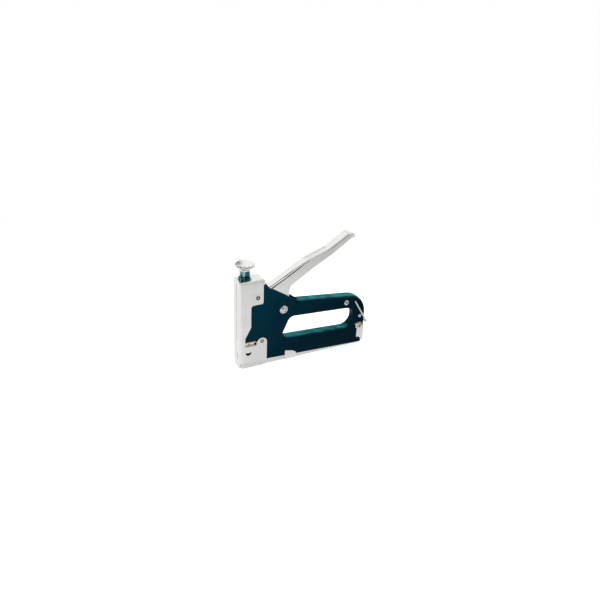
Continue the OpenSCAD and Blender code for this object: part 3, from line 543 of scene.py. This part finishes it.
# %% Bolt
tip_out, rim_from = 1.15, 2.1
tip = -(shell_half + tip_out)
bm = bmesh.new()
turned(bm, [(0, tip + 0.35), (1.3, tip + 0.3), (1.5, tip), (2.2, tip), (2.5, tip + 0.3), (2.5, shell_half),
            (4.1, shell_half), (4.1, shell_half + 1.3), (3.6, shell_half + 1.9), (2.4, shell_half + 2.2),
            (0, shell_half + 2.3)], (nut_at.x, 0, nut_at.z), ACROSS, 36)
bolt = finish_piece("rear_bolt_turned", bm, "body", zinc, ["rear_bolt"], 30)


def at_tip_rim(face):
    """Whether a face of the bolt is on the outer rim of its tip."""
    reach = math.hypot(face.center.x - nut_at.x, face.center.z - nut_at.z)
    return face.center.y < (tip + 0.4) * MM and reach > rim_from * MM


# Painted shade on the rim of the bolt's tip, deep in the nut's recess.
darkened(bolt, at_tip_rim)

# %% [markdown]
# ## Power knob
# Turning the knob squeezes the spring. Its head is a low dome with flutes for the fingers, on a plain stem.
# All of it is spun. The flutes are then pressed in by drawing the rim's points towards the axis, most of
# all at evenly spaced angles. The stem has a blue-passivated zinc plating, and the head is chromed.

# %% Knob
flutes, flute_depth, flute_from, flute_run = 12, 1.0, 7.5, 2
centre, low, high = middle("adjusting_knob")
top_z, foot_z = high.z / MM, low.z / MM
bm = bmesh.new()
turned(bm, [(3.0, foot_z), (5.3, foot_z), (5.5, foot_z + 0.25), (5.5, top_z - 8.2), (5.7, top_z - 7.9),
            (6.0, top_z - 7.6), (6.1, top_z - 6.2), (6.5, top_z - 5.5), (7.3, top_z - 4.8),
            (8.6, top_z - 4.2), (9.6, top_z - 3.8), (10.3, top_z - 3.3), (10.5, top_z - 2.8),
            (10.5, top_z - 1.7), (10.3, top_z - 1.2), (9.8, top_z - 0.8), (8.7, top_z - 0.5),
            (7.0, top_z - 0.28), (4.5, top_z - 0.1), (2.0, top_z - 0.02), (0, top_z)],
       (centre.x, 0, 0), UP, 120)
for vert in bm.verts:
    out, angle = vert.co.xy - centre.xy, math.atan2(vert.co.y, vert.co.x - centre.x)
    reach = out.length / MM
    if reach > flute_from:
        depth = flute_depth * min(1, (reach - flute_from) / flute_run)
        press = depth * max(0, math.cos(flutes * angle)) ** 1.5
        vert.co.xy = centre.xy + out * (1 - press / reach)
knob = finish_piece("power_knob", bm, "knob", chrome, ["adjusting_knob"], 50)
knob.data.materials.append(blue_zinc)
stem_top = top_z - 7.7
for face in knob.data.polygons:
    if face.center.z < stem_top * MM:
        face.material_index = 1

# %% [markdown]
# ## Collar and screw
# The knob's screw runs down through a flanged collar that is pressed into the top of the cover, and holds a
# seat for the spring. The collar is plated like the knob's stem. The thread is a zigzag profile, spun
# without a pitch, because it is hidden in the nose.

# %% Collar
centre, low, _ = middle("power_collar")
low_z, cover_top = low.z / MM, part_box("nose_cover")[1][2] / MM
bore = 3.06
bm = bmesh.new()
turned(bm, [(bore, low_z), (4.6, low_z), (4.6, cover_top), (6.9, cover_top), (7.2, cover_top + 0.25),
            (7.2, cover_top + 1.15), (7.0, cover_top + 1.5), (6.5, cover_top + 1.7), (6.0, cover_top + 1.85),
            (5.85, cover_top + 2.2), (5.6, cover_top + 2.5), (5.2, cover_top + 2.6), (bore, cover_top + 2.6),
            (bore, low_z)], (centre.x, 0, 0), UP, 72)
finish_piece("power_collar_turned", bm, "body", blue_zinc, ["power_collar"], 50)

# %% Screw
_, low, high = middle("adjusting_screw")
foot_z, top_z = low.z / MM, high.z / MM
flange_drop, half_pitch, thread_depth = 6.7, 0.75, 0.5
flange = cover_top - flange_drop
ridges = int((flange - foot_z - 2) / half_pitch)
thread = [(2.5 + thread_depth * (step % 2), foot_z + 0.4 + half_pitch * step) for step in range(ridges)]
bm = bmesh.new()
turned(bm, [(0, foot_z), (2.4, foot_z)] + thread + [
    (3.0, flange - 1.2), (3.0, flange), (4.4, flange), (4.5, flange + 0.15), (4.5, flange + 1.85),
    (4.4, flange + 2.0), (3.0, flange + 2.0), (3.0, top_z - 0.2), (0, top_z)], (centre.x, 0, 0), UP, 36)
finish_piece("power_screw", bm, "knob", zinc, ["adjusting_screw"], 50)

# %% [markdown]
# ## Springs
# The power spring drives the striker down, and a thin spring feeds the staples. A spring that is squeezed
# keeps its ends on their seats while its turns close up. Here each is wound evenly over the length of its
# CAD node, and gets a mesh of its own.

# %% Power spring
centre, low, high = middle("power_spring")
length = (high.z - low.z) / MM
wound = coil(radius=4.4, wire=2.2, length=length, turns=7, foot=(centre.x, 0, low.z), axis=UP)
spring = finish_piece("power_spring_coil", wound, "body", spring_steel, ["power_spring"], 60)
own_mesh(spring)

# %% Pusher spring
centre, low, high = middle("pusher_spring")
length = (high.x - low.x) / MM
wound = coil(radius=2.3, wire=0.6, length=length, turns=16, foot=(low.x, 0, centre.z), axis=(1, 0, 0),
             steps=20)
spring = finish_piece("pusher_spring_coil", wound, "rail", spring_steel, ["pusher_spring"],
                      60)
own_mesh(spring)

# %% [markdown]
# ## Staples
# A strip is a row of flat-wire staples held together with a film of glue. One staple is a bent band: its
# outline is filled, given the width of the wire, and its two outer corners are rounded. The others are
# copies, one pitch apart, with a hairline gap so that each staple can be told from the next.

# %% Staple strip
wire, pitch, hairline, bend = 0.7, 1.25, 0.05, 0.55
_, low, high = middle("staple_strip")
half, leg = high.y / MM, (high.z - low.z) / MM


def slide_along(bm, geometry, distance):
    """Moves the points of some geometry along the tool, by a distance in mm."""
    points = [item for item in geometry if isinstance(item, bmesh.types.BMVert)]
    bmesh.ops.translate(bm, verts=points, vec=(distance * MM, 0, 0))


def on_corner(vert):
    """Whether a point is on one of the two outer corners of the staple's back."""
    return abs(abs(vert.co.y) - half * MM) < 1e-6 and abs(vert.co.z) < 1e-6


bm = bmesh.new()
outline = [(-half, -leg), (-half, 0), (half, 0), (half, -leg), (half - wire, -leg), (half - wire, -wire),
           (-half + wire, -wire), (-half + wire, -leg)]
corners = [bm.verts.new((0, y * MM, z * MM)) for y, z in outline]
slide_along(bm, bmesh.ops.extrude_face_region(bm, geom=[bm.faces.new(corners)])["geom"], pitch - hairline)
bends = [edge for edge in bm.edges if all(on_corner(vert) for vert in edge.verts)]
bmesh.ops.bevel(bm, geom=bends, offset=bend * MM, offset_type="OFFSET", affect="EDGES", segments=3,
                profile=0.5, material=-1)
bmesh.ops.recalc_face_normals(bm, faces=bm.faces)
count = round((high.x - low.x) / MM / pitch)
one = bm.verts[:] + bm.edges[:] + bm.faces[:]
for number in range(1, count):
    slide_along(bm, bmesh.ops.duplicate(bm, geom=one)["geom"], number * pitch)
bmesh.ops.translate(bm, verts=bm.verts, vec=(low.x, 0, high.z))
finish_piece("staples", bm, "body", staple_steel, ["staple_strip"])
print("staples in the strip:", count)

# %% [markdown]
# ## Pieces that keep the shape of the frame
# The rest are bent or cut steel whose shape the CAD already has. Each gets a merged copy, so that round
# faces shade smoothly, and edges rounded by as much as the process leaves: little on a stamping, more on a
# pressing. The inner faces of the magazine and of its rail are dark with grease.

# %% Magazine, latch, striker and lock
for name, node, body, finish, slot, edge in (
    ("magazine_shell", "magazine_channel", "body", inner_zinc, "zinc_steel", 0.2),
    ("magazine_side_tabs", "magazine_tabs", "body", nickel, "bright_plate", 0.35),
    ("pull_out_rail", "magazine_rail", "rail", zinc, "zinc_steel", 0.12),
    ("latch_cap", "rear_latch", "rail", nickel, "bright_plate", 0.45),
    ("staple_pusher", "pusher", "pusher", dark_steel, "dark_steel", 0.15),
    ("pusher_guide_rod", "pusher_rod", "rail", zinc, "zinc_steel", 0.15),
    ("striker_block", "striker", "striker", dark_steel, "dark_steel", 0.25),
    ("staple_driver", "driver_blade", "striker", dark_steel, "dark_steel", 0.12),
    ("spring_seat_plate", "spring_seat", "seat", dark_steel, "dark_steel", 0.3),
    ("shell_spacers", "body_spacers", "body", zinc, "zinc_steel", 0.2),
    ("lever_lock_wire", "wire_lock", "lock", bright_wire, "spring_steel", 0.12),
):
    piece = finish_piece(name, merged_copy(node), body, finish, [node], 30)
    soften(inward_shaded(piece) if name in ("magazine_shell", "pull_out_rail") else piece, edge, 2, 50)

# %% [markdown]
# ## Studio
# Metal looks like metal only when it has something to reflect. A studio gives it pale walls with a few dark
# cards between them, which draw the thin dark lines along bends and round turned parts. Here they are bands
# of grey by compass angle and by height. One upright card stands behind the tool and one in front of it on
# the right. A wide card stands in front on the left, and another hangs overhead, behind on the left, above
# a dark line at the horizon. Only mirrored rays see them.

# %% Cards that metal reflects
def ramp_of(tree, factor, stops):
    """A soft colour ramp of greys through (position, brightness) stops."""
    made = add_node(tree, "ShaderNodeValToRGB", [(0, factor)])
    ramp = made.color_ramp
    ramp.interpolation = "EASE"
    while len(ramp.elements) < len(stops):
        ramp.elements.new(0.5)
    for element, (position, bright) in zip(ramp.elements, stops):
        element.position = position
        element.color = (bright, bright, bright, 1)
    return made.outputs[0]


def multiplied(tree, first, second):
    """Two patterns of light and dark laid over each other."""
    return between(tree, 1, first, second, "MULTIPLY")


def compass(tree, where):
    """The compass angle of a direction as 0 to 1 over a full turn, with 0.5 at +X and 0.75 at +Y."""
    return add_node(tree, "ShaderNodeTexGradient", [(0, where)], gradient_type="RADIAL").outputs["Fac"]


def share_of_turn(degrees):
    """The same share of a full turn for an angle in degrees."""
    return ((degrees + 180) % 360) / 360


def cards_round(tree, where, stops):
    """Brightness by compass angle in degrees."""
    turn_stops = sorted((share_of_turn(angle), bright) for angle, bright in stops)
    return ramp_of(tree, compass(tree, where), turn_stops)


def front_left(tree, where):
    """1 for a direction in front and to the left of the tool, and 0 elsewhere."""
    return spread(tree, compass(tree, where), 1, 0, share_of_turn(-78), share_of_turn(-70))


rear_card = [(-179, 1.0), (-75, 0.97), (-60, 0.93), (-46, 0.88), (0, 0.9), (20, 1.0), (67, 1.0), (73, 0.3),
             (86, 0.3), (93, 1.0), (179, 1.0)]
right_card = [(-179, 1.0), (-44, 1.0), (-37, 0.05), (-18, 0.05), (-9, 1.0), (179, 1.0)]
print("stops of the two upright cards:", len(rear_card), len(right_card))

# %% [markdown]
# ## Rays
# The same surface can look one way to the camera, another way in a mirror, and light the tool in a third
# way. Light Path tells the three kinds of ray apart, for the floor and for the sky.

# %% One shader for each kind of ray
WHITE = (1, 1, 1, 1)


def shader_mix(tree, share, first, second):
    """Mixes two shaders by a share."""
    return add_node(tree, "ShaderNodeMixShader", [(0, share), (1, first), (2, second)]).outputs[0]


def by_ray(tree, lighting, mirrored, seen):
    """One shader for the light that falls on the tool, one for what it mirrors, and one for the camera."""
    path = add_node(tree, "ShaderNodeLightPath")
    sharp_ray = combined(tree, "MAXIMUM", path.outputs["Is Glossy Ray"], path.outputs["Is Transmission Ray"])
    lit_or_seen = shader_mix(tree, path.outputs["Is Camera Ray"], lighting, seen)
    return shader_mix(tree, sharp_ray, lit_or_seen, mirrored)


# %% [markdown]
# ## Floor
# The tool stands on a white sweep. Most of its upright faces mirror the floor and not the walls, so the
# floor shows the cards as well, centred under the nose. There the wide card begins half a metre out, and
# the right one is only a patch, 20 to 30 cm from the nose. It also dims a little towards the front. To the
# camera it is pale with a soft shadow near the tool, and it fades to pure white further out, so that no
# horizon shows from other sides.

# %% Floor plane
bm = bmesh.new()
bmesh.ops.create_grid(bm, x_segments=8, y_segments=8, size=6)
bmesh.ops.translate(bm, verts=bm.verts, vec=(0, 0, cad_low.z - 0.05 * MM))
floor_mesh = bpy.data.meshes.new("floor")
bm.to_mesh(floor_mesh)
bm.free()
floor = bpy.data.objects.new("floor", floor_mesh)
bpy.context.scene.collection.objects.link(floor)
floor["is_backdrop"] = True
floor_paint = bpy.data.materials.new("pale_floor")
floor_paint.use_nodes = True
floor_mesh.materials.append(floor_paint)
print("floor in m:", [round(side, 1) for side in floor.dimensions])

# %% Cards that the floor shows in a mirror
tree = floor_paint.node_tree
tree.nodes.clear()
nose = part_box("nose_cover")[0]
under_nose = (nose[0] + 2 * MM, -4 * MM, cad_low.z)
centred = from_point(tree, under_nose)
far = length_of(tree, centred)
behind = add_node(tree, "ShaderNodeSeparateXYZ", [(0, centred)]).outputs["Y"]
falling = ramp_of(tree, far, [(0.0, 1.0), (0.35, 0.97), (0.43, 0.9), (0.52, 0.08), (1.0, 0.04)])
open_far = between(tree, front_left(tree, centred), (0.9, 0.9, 0.9), falling)
front_dim = ramp_of(tree, spread(tree, behind, 0, 1, -0.25, 0.05),
                    [(0.0, 0.72), (0.27, 0.88), (0.76, 0.9), (0.9, 1.0)])
near_patch = ramp_of(tree, far, [(0.0, 0.0), (0.17, 0.0), (0.20, 1.0), (0.31, 1.0), (0.36, 0.0)])
patch = between(tree, near_patch, (1, 1, 1), cards_round(tree, centred, right_card))
upright = multiplied(tree, cards_round(tree, centred, rear_card), patch)
pattern = multiplied(tree, upright, multiplied(tree, open_far, front_dim))

# %% Floor material
lit = add_node(tree, "ShaderNodeBsdfDiffuse", Color=(0.62, 0.62, 0.62, 1))
glow = add_node(tree, "ShaderNodeEmission", Color=WHITE, Strength=0.55)
near = add_node(tree, "ShaderNodeAddShader", [(0, lit.outputs[0]), (1, glow.outputs[0])])
white = add_node(tree, "ShaderNodeEmission", Color=WHITE, Strength=1.0)
fading = shader_mix(tree, spread(tree, far, 0, 1, 0.2, 0.6), near.outputs[0], white.outputs[0])
mirrored = add_node(tree, "ShaderNodeEmission", [("Color", pattern)], Strength=1.0)
dull = add_node(tree, "ShaderNodeBsdfDiffuse", Color=(0.2, 0.2, 0.2, 1))
all_rays = by_ray(tree, dull.outputs[0], mirrored.outputs[0], fading)
add_node(tree, "ShaderNodeOutputMaterial", [("Surface", all_rays)])
print("floor nodes:", len(tree.nodes))

# %% [markdown]
# ## Sky
# To the camera the sky is white, and as a light it grows from almost nothing at the horizon to a soft glow
# overhead. In a mirror it holds the cards. The upright ones fade out between 27 and 38 degrees up, and the
# wide one between 37 and 48.

# %% Sky
world = bpy.data.worlds.new("studio")
bpy.context.scene.world = world
world.use_nodes = True
tree = world.node_tree
tree.nodes.clear()
where = add_node(tree, "ShaderNodeTexCoord").outputs["Generated"]
east, north, height = add_node(tree, "ShaderNodeSeparateXYZ", [(0, where)]).outputs
wide_card = ramp_of(tree, height, [(0.0, 0.02), (0.60, 0.03), (0.74, 0.92), (1.0, 0.95)])
sky_in_front = between(tree, front_left(tree, where), (0.70, 0.71, 0.69), wide_card)
card_overhead = ramp_of(tree, height, [(0.0, 0.06), (0.10, 0.08), (0.22, 0.96), (0.66, 0.96), (0.71, 0.08),
                                       (0.95, 0.08), (1.0, 0.3)])
sky_behind = between(tree, spread(tree, east, 1, 0, 0.0, 0.12), (0.98, 0.98, 0.97), card_overhead)
sky = between(tree, spread(tree, north, 0, 1, 0.02, 0.14), sky_in_front, sky_behind)
cards = multiplied(tree, cards_round(tree, where, rear_card), cards_round(tree, where, right_card))
card_sky = between(tree, spread(tree, height, 1, 0, 0.45, 0.62), (1, 1, 1), cards)
glow = spread(tree, height, 0.02, 0.45, 0.0, 0.9)
sky_light = add_node(tree, "ShaderNodeBackground", [("Strength", glow)], Color=WHITE)
mirror_sky = multiplied(tree, sky, card_sky)
sky_mirror = add_node(tree, "ShaderNodeBackground", [("Color", mirror_sky)], Strength=1.0)
sky_white = add_node(tree, "ShaderNodeBackground", Color=WHITE, Strength=1.0)
all_rays = by_ray(tree, sky_light.outputs[0], sky_mirror.outputs[0], sky_white.outputs[0])
add_node(tree, "ShaderNodeOutputWorld", [("Surface", all_rays)])
print("sky nodes:", len(tree.nodes))

# %% [markdown]
# ## Lamps
# One large lamp overhead, behind and to the right, gives the soft top light, so upper sides are bright and
# the painted sides stay deep. A small bluish lamp close in front of the nose lifts the front of the painted
# side a little over its rear. Neither shows in the metal, because both are hidden from mirrored rays.

# %% Lamps
def softbox(name, place, size, power, tint=(1, 1, 1)):
    """A square lamp that looks at the tool's middle."""
    lamp = bpy.data.objects.new(name, bpy.data.lights.new(name, "AREA"))
    lamp.data.size = size
    lamp.data.energy = power
    lamp.data.color = tint
    lamp.location = place
    lamp.rotation_euler = (look_at - Vector(place)).to_track_quat("-Z", "Y").to_euler()
    lamp.visible_glossy = False
    lamp.visible_camera = False
    bpy.context.scene.collection.objects.link(lamp)
    print(f"{name}: {power} W")


softbox("overhead", (0.34, 0.30, 0.92), 0.5, 15)
softbox("front_fill", (-0.17, -0.15, 0.13), 0.1, 1.25, (0.6, 0.8, 1.0))
bpy.context.scene.view_settings.view_transform = "Standard"

# %% [markdown]
# ## Sizes
# The box of everything that renders is printed last, to set beside the CAD box printed at the start.

# %% Print the visual box
low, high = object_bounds()
print("visual box in mm:", [round(v / MM, 1) for v in high - low])
